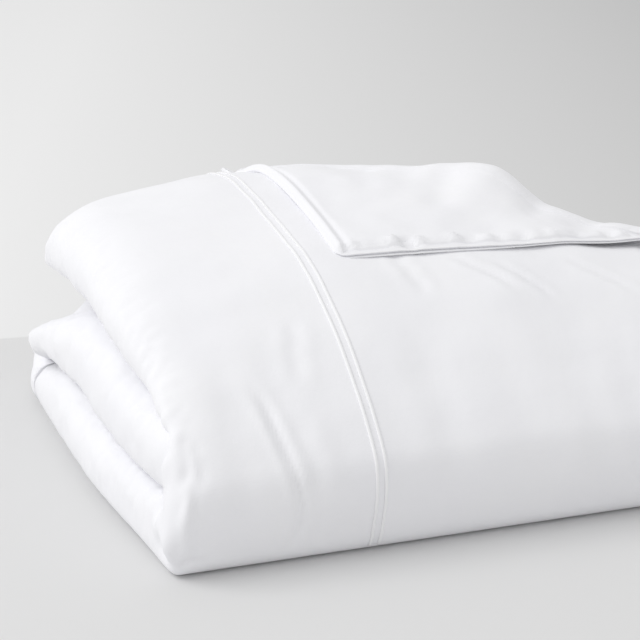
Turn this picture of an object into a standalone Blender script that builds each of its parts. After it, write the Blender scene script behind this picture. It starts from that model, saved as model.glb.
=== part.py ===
"""Duvet folded into a bundle: a puffy insert inside a percale cotton cover.

The duvet is folded across into thirds, which makes one thick ply, and the ply is then
rolled like a letter: a bottom ply, a front fold up to the top ply, and a back fold up to
the middle ply, whose free edge lies inside the front fold.  The top ply opens forward on
the front fold, and the corner of its cover is turned back over it.

Units are metres, +Z is up, +X runs along the front fold to the right, +Y to the back.
The origin is on the floor, under the middle of the bundle.
"""
import math

import bmesh
import bpy
from mathutils import Matrix, Vector

# ---- Driving dimensions --------------------------------------------------------------
left_end = -0.360            # X of the bottom ply's left end
top_left_reach = 0.012       # how far the top ply stands out past it
middle_left_reach = 0.062    # how far the middle ply stands out past it
right_end = 0.325            # X of the cover's buttoned foot edge
front_reach = 0.348          # -Y of the foremost point of the front fold
back_reach = 0.300           # +Y of the back fold
ply_thickness = 0.083        # three layers of the insert
insert_clearance = 0.002     # between the insert and its cover
cloth = 0.0015               # wall of the cover
ply_air = 0.0045             # between the covers of two plies
edge_room = 0.006            # between the insert's free edge and the cover
touch = 0.0003               # between faces that rest on each other
butt = 0.0009                # between panels cut at a fold
fold_relief = 0.014          # angle left out of the upper fold's insert, where it bends

shoulder = 0.045             # how far from an end the insert starts to thin
edge_share = 0.45            # insert thickness left at its very edge
top_back = 0.285             # +Y of the top ply's insert
middle_front = -0.185        # Y of the middle ply's free insert edge

hem_width = 0.040            # doubled edge of the cover's foot opening
hem_thickness = 0.003
hem_mouth = 0.0030           # between the two hems when they are buttoned
hem_ramp = 0.030             # length over which the cover closes down to its hems

front_slump = 0.38           # share of its height that the front fold loses
front_slump_start = 0.14     # Y where that begins
front_slump_length = 0.42
front_slump_power = 2.6
back_slump = 0.15
back_slump_length = 0.15
left_slump = 0.08
left_slump_start = -0.12
left_slump_length = 0.25
right_slump = 0.10
right_slump_start = 0.05
right_slump_length = 0.275

stitch_x = -0.160            # X of the first embroidered line
stitch_pitch = 0.0114        # between the two embroidered lines
stitch_width = 0.0030
stitch_height_share = 0.6    # height of an embroidered line over half its width
seam_bead_radius = 0.0012    # side seams of the cover
piping_radius = 0.0020       # corded edge of the insert

turn_back_left = (-0.110, top_back)   # where the corner's fold leaves the back edge
turn_back_right = (right_end - 0.025, -0.125)   # where it meets the foot edge
turn_back_tip = (-0.112, -0.124)      # where the turned-back corner lies
tip_width = 0.018
flap_gap = 0.0030            # between the top ply and the turned-back corner
flap_leaf_gap = 0.0015       # between the corner's two leaves
flap_hem_width = 0.012
flap_seam_radius = 0.0022
flap_fold_radius = 0.0020
insert_corner_inset = 0.012  # how far before the fold the top ply's insert stops
cover_corner_inset = 0.001   # the same, for its cover
corner_cutter_size = (1.2, 0.6, 0.4)
flap_sag_inset = 0.005       # how far before the insert's thinning the corner starts to sag
flap_back_sag = 0.010        # the same, before the back edge
flap_back_sag_length = 0.045

button_diameter = 0.015
button_thickness = 0.0030
buttonhole_length = 0.018
buttonhole_width = 0.0044

label_width = 0.030
label_drop = 0.026
label_thickness = 0.0008
label_x = -0.250

thread_radius = 0.00035
thread_circle = 0.0016       # how far the button's holes lie from its centre
thread_hole_radius = 0.0006

# ---- Levels worked out from them -----------------------------------------------------
insert_half = ply_thickness / 2
cover_lift = insert_half + insert_clearance + cloth / 2    # middle of the cover's wall
ply_half = cover_lift + cloth / 2
ply_pitch = 2 * ply_half + ply_air
bottom_level = ply_half
middle_level = bottom_level + ply_pitch
top_level = middle_level + ply_pitch
front_centre = -front_reach + ply_pitch + ply_half
back_centre = back_reach - ply_pitch / 2 - ply_half
hem_lift = hem_mouth / 2 + hem_thickness / 2
hem_start = right_end - hem_width
insert_right = hem_start - hem_ramp
seam_lift = cloth / 2 + butt / 2


# ---- Shape of the roll ---------------------------------------------------------------
def clamp(value, low=0.0, high=1.0):
    return max(low, min(high, value))


def slump(x, y):
    """Share of its height that the soft bundle keeps at x, y."""
    front = clamp((front_slump_start - y) / front_slump_length) ** front_slump_power
    back = clamp((y - front_slump_start) / back_slump_length) ** 2
    left = clamp((left_slump_start - x) / left_slump_length) ** 2
    right = clamp((x - right_slump_start) / right_slump_length) ** 2
    return (1 - front_slump * front - back_slump * back) * (1 - left_slump * left - right_slump * right)


def settle(x, y, z):
    """A point of the square roll, after the soft bundle has slumped towards the floor."""
    base = cloth / 2
    return Vector((x, y, base + (z - base) * slump(x, y)))


def section(ply, along, lift):
    """Y and Z of a point of the square roll; lift is measured outwards from mid-ply."""
    if ply == "top":
        return along, top_level + lift
    if ply == "middle":
        return along, middle_level + lift
    if ply == "bottom":
        return along, bottom_level - lift
    if ply == "back_fold":
        radius = ply_pitch / 2 + lift
        centre = (bottom_level + middle_level) / 2
        return back_centre + butt + radius * math.cos(along), centre + radius * math.sin(along)
    squareness = 2.0 if ply == "front_fold_upper" else 4.0
    radius = ply_pitch + lift
    forward = max(math.cos(along), 0.0) ** (2 / squareness)
    rise = abs(math.sin(along)) ** (2 / squareness)
    if ply == "front_fold_upper":
        return front_centre - butt - radius * forward, middle_level + radius * rise
    return front_centre - butt - radius * forward, middle_level - butt * (1 - rise) - radius * rise


def on_ply(ply, x, along, lift):
    y, z = section(ply, along, lift)
    return settle(x, y, z)


def rounding(distance):
    """Share of its thickness that the insert has at a distance from its free edge."""
    t = clamp(distance / shoulder)
    return edge_share + (1 - edge_share) * math.sqrt(1 - (1 - t) ** 2)


# A ply's own ends: X of its insert's left end, and the run of its middle line.
quarter = math.pi / 2
plies = {
    "top": dict(left=left_end - top_left_reach, start=front_centre, end=top_back, free="end"),
    "middle": dict(left=left_end - middle_left_reach, start=middle_front, end=back_centre, free="start"),
    "bottom": dict(left=left_end, start=front_centre, end=back_centre, free=None),
    "front_fold_upper": dict(left=left_end, start=0.0, end=quarter, free=None),
    "front_fold_lower": dict(left=left_end, start=-quarter, end=0.0, free=None),
    "back_fold": dict(left=left_end, start=-quarter, end=quarter, free=None),
}
end_steps = (0.0, 0.008, 0.022, shoulder)


def spread(low, high, count):
    return [low + (high - low) * i / count for i in range(count + 1)]


def x_stations(ply):
    left = plies[ply]["left"]
    middle = spread(left + shoulder, insert_right - shoulder, 5)[1:-1]
    return ([left + d for d in end_steps] + middle
            + [insert_right - d for d in reversed(end_steps)])


def run_stations(ply):
    start, end, free = (plies[ply][key] for key in ("start", "end", "free"))
    if ply.startswith("front_fold"):
        return spread(start, end, 5)
    if ply == "back_fold":
        return spread(start, end, 8)
    if free == "end":
        return spread(start, end - shoulder, 9)[:-1] + [end - d for d in reversed(end_steps)]
    if free == "start":
        return [start + d for d in end_steps] + spread(start + shoulder, end, 7)[1:]
    return spread(start, end, 8)


def thickness_share(ply, x, along):
    left, start, end, free = (plies[ply][key] for key in ("left", "start", "end", "free"))
    share = rounding(x - left) * rounding(insert_right - x)
    if free == "end":
        share *= rounding(end - along)
    if free == "start":
        share *= rounding(along - start)
    return share


# ---- Mesh and material helpers -------------------------------------------------------
def material(name, colour, roughness, metallic=0.0):
    made = bpy.data.materials.get(name)
    if made is None:
        made = bpy.data.materials.new(name)
        made.use_nodes = True
        shader = made.node_tree.nodes["Principled BSDF"]
        shader.inputs["Base Color"].default_value = (*colour, 1.0)
        shader.inputs["Roughness"].default_value = roughness
        shader.inputs["Metallic"].default_value = metallic
    return made


def percale():
    return material("white percale cotton", (0.82, 0.83, 0.86), 0.85)


def insert_shell():
    return material("insert cotton shell", (0.78, 0.78, 0.76), 0.90)


def satin_thread():
    return material("white embroidery thread", (0.88, 0.88, 0.89), 0.45)


def button_resin():
    return material("white button resin", (0.80, 0.80, 0.78), 0.30)


def label_tape():
    return material("blank label tape", (0.86, 0.86, 0.85), 0.70)


def add_object(name, data, finish):
    made = bpy.data.objects.new(name, data)
    made.data.materials.append(finish)
    collection.objects.link(made)
    return made


def add_grid(name, columns, rows, place, finish, solid=False):
    """Grid of columns x rows points, each put where place(column, row, side) says.

    A solid grid has two faces, side 0 outside and side 1 inside, joined round its rim.
    """
    work = bmesh.new()
    bmesh.ops.create_grid(work, x_segments=columns - 1, y_segments=rows - 1, size=1.0)
    if solid:
        bmesh.ops.solidify(work, geom=work.verts[:] + work.edges[:] + work.faces[:], thickness=1.0)
    for vertex in work.verts:
        column = round((vertex.co.x + 1) / 2 * (columns - 1))
        row = round((vertex.co.y + 1) / 2 * (rows - 1))
        side = 1 if abs(vertex.co.z) > 0.5 else 0
        vertex.co = place(column, row, side)
    bmesh.ops.recalc_face_normals(work, faces=work.faces[:])
    if solid and work.calc_volume(signed=True) < 0:
        bmesh.ops.reverse_faces(work, faces=work.faces[:])
    mesh = bpy.data.meshes.new(name)
    work.to_mesh(mesh)
    work.free()
    mesh.shade_smooth()
    return add_object(name, mesh, finish)


def add_wall(made, thickness):
    wall = made.modifiers.new("wall", "SOLIDIFY")
    wall.thickness = thickness
    wall.offset = 0.0
    wall.use_even_offset = True
    wall.use_quality_normals = True


def add_rod(name, points, radius, finish, corners=1):
    """Round thread, bead or piping along the points, with filled ends."""
    curve = bpy.data.curves.new(name, "CURVE")
    curve.dimensions = "3D"
    curve.bevel_depth = radius
    curve.bevel_resolution = corners
    curve.use_fill_caps = True
    line = curve.splines.new("POLY")
    line.points.add(len(points) - 1)
    for slot, point in zip(line.points, points):
        slot.co = (*point, 1.0)
    return add_object(name, curve, finish)


def cut(made, cutter):
    hole = made.modifiers.new("cut", "BOOLEAN")
    hole.operation = "DIFFERENCE"
    hole.solver = "EXACT"
    hole.object = cutter


def add_cutter(name, size, place):
    """Box cutter of the given size, centred and turned by the matrix place."""
    mesh = bpy.data.meshes.new(name)
    work = bmesh.new()
    bmesh.ops.create_cube(work, size=1.0)
    bmesh.ops.scale(work, vec=size, verts=work.verts)
    work.to_mesh(mesh)
    work.free()
    made = bpy.data.objects.new(name, mesh)
    made.matrix_world = place
    made.display_type = "WIRE"
    made.hide_render = True
    cutters.objects.link(made)
    return made


# ---- Insert --------------------------------------------------------------------------
def add_insert(ply):
    """One ply of the filled insert, thinner towards its free edges."""
    xs, run = x_stations(ply), run_stations(ply)
    if ply == "front_fold_upper":
        run[0] += fold_relief

    def place(column, row, side):
        x, along = xs[column], run[row]
        lift = insert_half * thickness_share(ply, x, along)
        return on_ply(ply, x, along, lift if side == 0 else -lift)

    return add_grid("insert_" + ply, len(xs), len(run), place, insert_shell(), solid=True)


def add_piping(ply, along, x_end):
    """Corded edge of the insert's shell, along a free edge of the ply."""
    radius = piping_radius
    xs = [x for x in x_stations(ply) if x < x_end - 0.02] + [x_end - 0.02]
    reach = touch + radius
    outwards = 1 if plies[ply]["free"] == "end" else -1
    points = [on_ply(ply, x, along + outwards * reach, 0.0) for x in xs]
    return add_rod("insert_piping_" + ply, points, radius, insert_shell())


# ---- Cover ---------------------------------------------------------------------------
def cover_stations(ply):
    """X and run stations of a cover panel, each with the part of the edge it stands on."""
    xs = x_stations(ply)
    left = plies[ply]["left"] - insert_clearance - cloth / 2
    columns = [(left, "seam"), (left, "corner")] + [(x, "panel") for x in xs[1:]]
    columns.append((hem_start - butt, "hem"))
    run = run_stations(ply)
    rows = [(along, "panel") for along in run]
    if plies[ply]["free"] == "end":
        edge = run[-1] + edge_room
        rows = rows[:-1] + [(edge, "corner"), (edge, "seam")]
    if plies[ply]["free"] == "start":
        edge = run[0] - edge_room
        rows = [(edge, "seam"), (edge, "corner")] + rows[1:]
    return columns, rows


def panel_lift(ply, column, row):
    """Distance of the panel's middle from mid-ply at a station."""
    x, x_kind = column
    along, run_kind = row
    if "seam" in (x_kind, run_kind):
        return seam_lift
    if x_kind == "hem":
        return hem_lift
    inside_x = clamp(x, plies[ply]["left"], insert_right)
    low, high = plies[ply]["start"], plies[ply]["end"]
    share = thickness_share(ply, inside_x, clamp(along, low, high))
    return insert_half * share + insert_clearance + cloth / 2


def add_panel(side, ply):
    """Face or reverse panel of the cover on one ply: an open sheet with a wall."""
    columns, rows = cover_stations(ply)
    sign = 1 if side == "face" else -1

    def place(column, row, _side):
        lift = panel_lift(ply, columns[column], rows[row])
        return on_ply(ply, columns[column][0], rows[row][0], sign * lift)

    made = add_grid("cover_" + side + "_" + ply, len(columns), len(rows), place, percale())
    add_wall(made, cloth)
    return made


def add_hem(side, ply, low, high, count):
    """Doubled edge of the foot opening on one panel."""
    sign = 1 if side == "face" else -1
    xs = spread(hem_start, right_end, 2)
    run = spread(low, high, count)

    def place(column, row, _side):
        return on_ply(ply, xs[column], run[row], sign * hem_lift)

    made = add_grid("hem_" + side + "_" + ply, len(xs), len(run), place, percale())
    add_wall(made, hem_thickness)
    return made


def add_side_seam(ply, x_end):
    """Rolled bead that closes the face and reverse panels along a free edge."""
    radius = seam_bead_radius
    free_end = plies[ply]["free"] == "end"
    edge = plies[ply]["end"] + edge_room if free_end else plies[ply]["start"] - edge_room
    reach = cloth / 2 + touch + radius
    along = edge + reach if free_end else edge - reach
    xs = spread(plies[ply]["left"], x_end - 0.01, 16)
    points = [on_ply(ply, x, along, 0.0) for x in xs]
    return add_rod("side_seam_" + ply, points, radius, percale())


# ---- Embroidered lines ---------------------------------------------------------------
def add_stitch_line(ply, number):
    """Raised satin-stitch line on the outside of the face panel."""
    x = stitch_x + number * stitch_pitch
    radius = stitch_width / 2 * stitch_height_share
    rows = [row for row in cover_stations(ply)[1] if row[1] == "panel"]
    if ply in ("front_fold_lower", "back_fold"):
        rows = rows[2:]    # the line stays clear of the floor
    trim = 0.004
    points = []
    for row in rows:
        along = row[0]
        if (ply, along) == ("top", front_centre):
            along += trim
        if (ply, along) == ("middle", back_centre):
            along -= trim
        lift = panel_lift(ply, (x, "panel"), row) + cloth / 2 + 2 * touch + radius
        points.append(on_ply(ply, x, along, lift))
    name = "stitch_line_" + "ab"[number] + "_" + ply
    return add_rod(name, points, radius, satin_thread())


# ---- Turned-back corner --------------------------------------------------------------
def fold_direction():
    start, end = Vector(turn_back_left), Vector(turn_back_right)
    return (end - start).normalized()


def flap_sag(x, y):
    """How much lower than a full ply the corner lies, near the cover's edges."""
    foot_start = insert_right - shoulder - flap_sag_inset
    to_foot = clamp((x - foot_start) / (turn_back_right[0] - foot_start)) ** 2
    to_back = clamp((y - top_back + flap_back_sag) / flap_back_sag_length) ** 2
    return (ply_half - hem_lift) * max(to_foot, to_back)


def flap_point(x, y, lift):
    return settle(x, y, top_level + ply_half + lift - flap_sag(x, y))


def flap_outline(share, width):
    """A point of the corner: share runs along the fold, width from the fold to the tip."""
    start, end, tip = Vector(turn_back_left), Vector(turn_back_right), Vector(turn_back_tip)
    on_fold = start.lerp(end, share)
    at_tip = tip + fold_direction() * tip_width * (share - 0.5)
    return on_fold.lerp(at_tip, width)


def add_leaf(name, lift, shares, widths, thickness):
    def place(column, row, _side):
        x, y = flap_outline(shares[column], widths[row])
        return flap_point(x, y, lift)

    made = add_grid(name, len(shares), len(widths), place, percale())
    add_wall(made, thickness)
    return made


def flap_lifts():
    lower = flap_gap + cloth / 2
    return lower, lower + cloth + flap_leaf_gap


def add_flap_hem(name, lift):
    """Hem strip just outside the corner's edge from the tip to the foot edge."""
    tip = flap_outline(1.0, 1.0)
    foot = Vector(turn_back_right)
    run = spread(0.03, 0.97, 24)
    outwards = Vector((tip.y - foot.y, foot.x - tip.x)).normalized()
    if outwards.y > 0:
        outwards = -outwards

    def place(column, row, _side):
        point = tip.lerp(foot, run[row]) + outwards * (butt + flap_hem_width * column)
        return flap_point(point.x, point.y, lift)

    made = add_grid(name, 2, len(run), place, percale())
    add_wall(made, cloth)
    return made


def add_flap_seam():
    """Rolled side seam from the fold to the tip, along the corner's former back edge."""
    radius = flap_seam_radius
    lower, upper = flap_lifts()
    start, end = flap_outline(0.0, 0.0), flap_outline(0.0, 1.0)
    outwards = Vector((start.y - end.y, end.x - start.x)).normalized()
    if outwards.x > 0:
        outwards = -outwards
    points = []
    for share in spread(0.03, 0.97, 16):
        point = start.lerp(end, share) + outwards * (radius + butt)
        points.append(flap_point(point.x, point.y, (lower + upper) / 2))
    return add_rod("flap_side_seam", points, radius, percale())


def add_flap_fold():
    """The turn of the cloth between the top ply's cut edge and the corner's leaves."""
    radius = flap_fold_radius
    behind = Vector((-fold_direction().y, fold_direction().x))
    if behind.y < 0:
        behind = -behind
    start, end = Vector(turn_back_left), Vector(turn_back_right)
    points = []
    for share in spread(0.04, 0.96, 16):
        point = start.lerp(end, share) + behind * (radius + touch)
        points.append(flap_point(point.x, point.y, flap_gap))
    return add_rod("flap_fold_edge", points, radius, percale())


def corner_cutter(name, in_front):
    """Box that takes the top ply's corner away behind the fold of its cover."""
    start, end = Vector(turn_back_left), Vector(turn_back_right)
    along = fold_direction()
    behind = Vector((-along.y, along.x))
    if behind.y < 0:
        behind = -behind
    size = corner_cutter_size
    centre = (start + end) / 2 + behind * (size[1] / 2 - in_front)
    turn = Matrix.Rotation(math.atan2(along.y, along.x), 4, "Z")
    return add_cutter(name, size, Matrix.Translation((centre.x, centre.y, top_level)) @ turn)


# ---- Buttons -------------------------------------------------------------------------
def local_frame(point, beside, ahead, up):
    """Matrix at point whose Z is normal to the cloth, turned to the given side."""
    normal = (beside - point).cross(ahead - point).normalized()
    if normal.dot(up) < 0:
        normal = -normal
    x_axis = (beside - point).normalized()
    y_axis = normal.cross(x_axis)
    turn = Matrix((x_axis, y_axis, normal)).transposed().to_4x4()
    return Matrix.Translation(point) @ turn


def hem_frame(ply, x, along, lift):
    """Frame on a sheet of the ply: X to the right, Z out of its face side."""
    step = 0.004
    face_up = Vector((0, 0, -1 if ply == "bottom" else 1))
    return local_frame(on_ply(ply, x, along, lift), on_ply(ply, x + step, along, lift),
                       on_ply(ply, x, along + step, lift), face_up)


def button_mesh():
    """Turned button: a dished face inside a rounded rim, with four thread holes."""
    mesh = bpy.data.meshes.get("button")
    if mesh:
        return mesh
    radius, half = button_diameter / 2, button_thickness / 2
    profile = [(0.0, half * 0.4), (radius * 0.55, half * 0.4), (radius * 0.72, half),
               (radius * 0.92, half), (radius, half * 0.3), (radius, -half * 0.4),
               (radius * 0.85, -half), (0.0, -half)]
    work = bmesh.new()
    corners = [work.verts.new((r, 0.0, z)) for r, z in profile]
    edges = [work.edges.new(pair) for pair in zip(corners, corners[1:])]
    steps = 16
    bmesh.ops.spin(work, geom=corners + edges, cent=(0, 0, 0), axis=(0, 0, 1),
                   angle=2 * math.pi, steps=steps, use_merge=True)
    bmesh.ops.remove_doubles(work, verts=work.verts[:], dist=0.00002)
    bmesh.ops.recalc_face_normals(work, faces=work.faces[:])
    mesh = bpy.data.meshes.new("button")
    work.to_mesh(mesh)
    work.free()
    mesh.materials.append(button_resin())
    return mesh


def thread_holes(name, place):
    """Four round cutters through a button."""
    mesh = bpy.data.meshes.get("thread_holes")
    if mesh is None:
        work = bmesh.new()
        for i in range(4):
            angle = math.pi / 4 + i * quarter
            spot = (thread_circle * math.cos(angle), thread_circle * math.sin(angle), 0)
            bmesh.ops.create_cone(work, cap_ends=True, segments=6, radius1=thread_hole_radius,
                                  radius2=thread_hole_radius, depth=3 * button_thickness,
                                  matrix=Matrix.Translation(spot))
        mesh = bpy.data.meshes.new("thread_holes")
        work.to_mesh(mesh)
        work.free()
    made = bpy.data.objects.new(name, mesh)
    made.matrix_world = place
    made.display_type = "WIRE"
    made.hide_render = True
    cutters.objects.link(made)
    return made


def add_button(name, frame, depth):
    """Button, and the thread that holds it to the inner hem, depth below the frame.

    The frame is on the outside of the outer hem, with Z pointing out.
    """
    height = 3 * touch + button_thickness / 2
    place = frame @ Matrix.Translation((0, 0, height))
    made = bpy.data.objects.new(name, button_mesh())
    made.matrix_world = place
    collection.objects.link(made)
    cut(made, thread_holes("holes_" + name, place))
    foot = -(depth - touch)
    crown = height + button_thickness * 0.2 + 2 * touch + thread_radius
    side = thread_circle / math.sqrt(2)
    bend = thread_radius * 1.2
    rise = [foot, 0.0, crown - bend]
    points = [(-side, -side, z) for z in rise] + [(-side + bend, -side + bend, crown)]
    points += [(side - bend, side - bend, crown)] + [(side, side, z) for z in reversed(rise)]
    add_rod("thread_" + name, [frame @ Vector(point) for point in points], thread_radius,
            satin_thread())


def buttonhole(name, frame, wall):
    place = frame @ Matrix.Translation((0, 0, -wall / 2))
    return add_cutter(name, (buttonhole_length, buttonhole_width, 2 * wall), place)


def add_hems():
    """Foot hems of the three plies, buttoned through the face hem."""
    runs = {"top": (front_centre, turn_back_right[1] - 0.012), "middle": (middle_front, back_centre),
            "bottom": (front_centre, back_centre)}
    button_places = {"top": [-0.168], "middle": [-0.060, 0.120], "bottom": [-0.090, 0.130]}
    middle_x = (hem_start + right_end) / 2
    for ply, (low, high) in runs.items():
        add_hem("reverse", ply, low, high, 7)
        face = add_hem("face", ply, low, high, 7)
        for number, along in enumerate(button_places[ply], start=1):
            name = "button_" + ply + "_" + str(number)
            outer = hem_frame(ply, middle_x, along, hem_lift)
            inner = hem_frame(ply, middle_x, along, -hem_lift)
            depth = (outer.translation - inner.translation).dot(outer.col[2].to_3d())
            frame = outer @ Matrix.Translation((0, 0, hem_thickness / 2))
            cut(face, buttonhole("hole_" + name, frame, hem_thickness))
            add_button(name, frame, depth)


def add_flap_button(face_hem):
    """The turned-back corner's own button, under its foot hem near the fold."""
    lower, upper = flap_lifts()
    tip, foot = flap_outline(1.0, 1.0), Vector(turn_back_right)
    along = (foot - tip).normalized()
    spot = tip.lerp(foot, 0.90) + Vector((along.y, -along.x)) * (butt + flap_hem_width / 2)
    step = 0.004

    def on_flap(ahead, side, lift):
        place = spot + along * ahead + Vector((-along.y, along.x)) * side
        return flap_point(place.x, place.y, lift)

    frame = local_frame(on_flap(0, 0, lower), on_flap(step, 0, lower), on_flap(0, step, lower),
                        Vector((0, 0, -1)))
    depth = (frame.translation - on_flap(0, 0, upper)).dot(frame.col[2].to_3d())
    frame = frame @ Matrix.Translation((0, 0, cloth / 2))
    cut(face_hem, buttonhole("hole_button_flap", frame, cloth))
    add_button("button_flap", frame, depth)


# ---- Tie, loop and label -------------------------------------------------------------
def add_link(name, frame, radius, cord, length, finish):
    """Loop of tape round the frame's Y axis, its far half drawn out along the X axis."""
    work = bmesh.new()
    circle = bmesh.ops.create_circle(work, segments=6, radius=cord)
    bmesh.ops.translate(work, verts=circle["verts"], vec=(radius, 0, 0))
    bmesh.ops.spin(work, geom=work.verts[:] + work.edges[:], cent=(0, 0, 0), axis=(0, 1, 0),
                   angle=2 * math.pi, steps=16, use_merge=True)
    bmesh.ops.remove_doubles(work, verts=work.verts[:], dist=0.00001)
    for vertex in work.verts:
        if vertex.co.x > radius * 0.1:
            vertex.co.x += length
    bmesh.ops.recalc_face_normals(work, faces=work.faces[:])
    mesh = bpy.data.meshes.new(name)
    work.to_mesh(mesh)
    work.free()
    mesh.shade_smooth()
    made = add_object(name, mesh, finish)
    made.matrix_world = frame
    return made


def add_corner_tie():
    """Loop on the middle ply's insert corner, and the cover's tie that passes through it."""
    cord = 0.0005
    radius = 0.0050
    overlap = 1.2 * radius     # between the centres of the two linked loops
    along = middle_front + 0.030
    loop_x = insert_right + touch + cord + radius
    add_link("insert_corner_loop", hem_frame("middle", loop_x, along, 0.0), radius, cord, 0.0,
             label_tape())
    far = hem_start
    flat = Matrix.Rotation(quarter, 4, "X")
    frame = hem_frame("middle", far, along, 0.0) @ Matrix.Translation((loop_x + overlap - far, 0, 0))
    add_link("cover_corner_tie", frame @ flat, radius, cord, far - loop_x - overlap - radius,
             label_tape())


def label_frame():
    """Frame on the care label's stitch line: X along the seam, Z up."""
    reach = edge_room + cloth / 2 + touch + seam_bead_radius
    here = on_ply("top", label_x, top_back + reach, 0.0)
    beside = on_ply("top", label_x + label_width / 2, top_back + reach, 0.0)
    x_axis = (beside - here).normalized()
    y_axis = Vector((0, 0, 1)).cross(x_axis).normalized()
    z_axis = x_axis.cross(y_axis)
    place = Matrix((x_axis, y_axis, z_axis)).transposed().to_4x4()
    return Matrix.Translation(here - z_axis * (seam_bead_radius + 2 * touch)) @ place


def add_label():
    """Blank care label that hangs from the top ply's side seam."""
    mesh = bpy.data.meshes.new("care_label")
    work = bmesh.new()
    bmesh.ops.create_cube(work, size=1.0)
    bmesh.ops.scale(work, vec=(label_width, label_thickness, label_drop), verts=work.verts)
    bmesh.ops.translate(work, vec=(0, 0, -label_drop / 2), verts=work.verts)
    work.to_mesh(mesh)
    work.free()
    made = add_object("care_label", mesh, label_tape())
    made.matrix_world = label_frame()


# ---- Assembly ------------------------------------------------------------------------
for made in list(bpy.data.objects):
    bpy.data.objects.remove(made, do_unlink=True)
collection = bpy.data.collections.new("folded_duvet")
cutters = bpy.data.collections.new("cutters")
for group in (collection, cutters):
    bpy.context.scene.collection.children.link(group)

for ply in plies:
    add_insert(ply)
add_piping("top", top_back, turn_back_left[0])
add_piping("middle", middle_front, insert_right)

for ply in plies:
    add_panel("face", ply)
    if ply != "back_fold":
        add_panel("reverse", ply)
add_hems()
add_side_seam("top", turn_back_left[0])
add_side_seam("middle", hem_start)

for ply in ("top", "front_fold_upper", "front_fold_lower", "back_fold", "middle"):
    for number in (0, 1):
        add_stitch_line(ply, number)

insert_corner = corner_cutter("insert_corner", insert_corner_inset)
cover_corner = corner_cutter("cover_corner", cover_corner_inset)
cut(bpy.data.objects["insert_top"], insert_corner)
for name in ("cover_face_top", "cover_reverse_top", "hem_face_top", "hem_reverse_top"):
    cut(bpy.data.objects[name], cover_corner)

lower_leaf, upper_leaf = flap_lifts()
leaf_shares = spread(0.0, 1.0, 14)
leaf_widths = spread(0.0, 1.0, 11)
add_leaf("flap_face_leaf", lower_leaf, leaf_shares, leaf_widths, cloth)
add_leaf("flap_reverse_leaf", upper_leaf, leaf_shares, leaf_widths, cloth)
flap_hem = add_flap_hem("flap_hem_face", lower_leaf)
add_flap_hem("flap_hem_reverse", upper_leaf)
add_flap_seam()
add_flap_fold()
add_flap_button(flap_hem)
add_corner_tie()
add_label()
bpy.context.view_layer.update()
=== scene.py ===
import bpy
import numpy as np
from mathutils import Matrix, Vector


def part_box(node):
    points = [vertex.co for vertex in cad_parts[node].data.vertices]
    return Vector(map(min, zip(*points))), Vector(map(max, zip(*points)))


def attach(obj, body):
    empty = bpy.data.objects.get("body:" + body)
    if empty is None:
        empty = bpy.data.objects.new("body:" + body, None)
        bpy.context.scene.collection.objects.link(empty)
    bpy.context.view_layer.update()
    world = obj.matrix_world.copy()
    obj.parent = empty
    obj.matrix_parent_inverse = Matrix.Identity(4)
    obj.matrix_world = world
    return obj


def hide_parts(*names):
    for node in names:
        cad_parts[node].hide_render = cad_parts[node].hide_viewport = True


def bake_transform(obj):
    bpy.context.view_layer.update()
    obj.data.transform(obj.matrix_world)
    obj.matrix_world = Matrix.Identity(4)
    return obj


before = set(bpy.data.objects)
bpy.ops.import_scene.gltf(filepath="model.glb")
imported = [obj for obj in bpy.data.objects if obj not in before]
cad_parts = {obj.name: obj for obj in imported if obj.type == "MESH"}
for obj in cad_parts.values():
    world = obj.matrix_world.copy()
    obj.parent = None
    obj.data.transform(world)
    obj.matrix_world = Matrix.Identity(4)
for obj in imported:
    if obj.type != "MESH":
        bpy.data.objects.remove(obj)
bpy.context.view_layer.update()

# ---- The folded duvet: top ply, front fold and bottom ply ----------------------------
# A down-filled insert inside a percale cotton cover, folded in three and then rolled like
# a letter.  This piece is the outside turn: the top ply, the front fold and the front of
# the bottom ply, one closed puffy slab bent round the middle ply.
PERCALE = "percale cotton"
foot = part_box("hem_face_top")[1].x       # X of the cover's foot edge
PLY_HALF = 0.045                         # half the thickness of a padded ply
HEM_HALF = 0.0045                        # half the thickness of the buttoned hems
HEM_WIDTH, HEM_SLOPE = 0.038, 0.050      # the hem, and the padding's rise behind it
FOLD_ROUNDING = 0.055                    # how far the ply rounds off at the corner's fold
SPLIT = 0.190                            # Y where this piece meets the back fold
LEFT_START, LEFT_REACH = -0.24, 0.09     # where the left end's own lines take over, in X
FOLD_LEFT = np.array([-0.110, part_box("cover_face_top")[1].y])   # start of the corner's fold
FOLD_RIGHT = np.array([foot - 0.022, -0.128])                   # and its end
FOLD_WAY = (FOLD_RIGHT - FOLD_LEFT) / np.linalg.norm(FOLD_RIGHT - FOLD_LEFT)


def clamp(value, low=0.0, high=1.0):
    return np.minimum(np.maximum(value, low), high)


def smooth(value):
    """0 below 0, 1 above 1, and three times the square less twice the cube between."""
    t = clamp(value)
    return t * t * (3 - 2 * t)


def through(stations, values, at):
    """Cubic curve through the values: each piece is a Hermite cubic whose end slopes are
    the central differences of its neighbours."""
    s, v, at = np.asarray(stations, float), np.asarray(values, float), np.asarray(at, float)
    flat = v.reshape(len(v), -1)
    slope = np.gradient(flat, s, axis=0)
    i = np.clip(np.searchsorted(s, at) - 1, 0, len(s) - 2)
    h = (s[i + 1] - s[i])[..., None]
    t = clamp((at - s[i]) / (s[i + 1] - s[i]))[..., None]
    made = ((1 + 2 * t) * (1 - t) ** 2 * flat[i] + t * (1 - t) ** 2 * h * slope[i]
            + t * t * (3 - 2 * t) * flat[i + 1] + t * t * (t - 1) * h * slope[i + 1])
    return made.reshape(at.shape + v.shape[1:])


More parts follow.
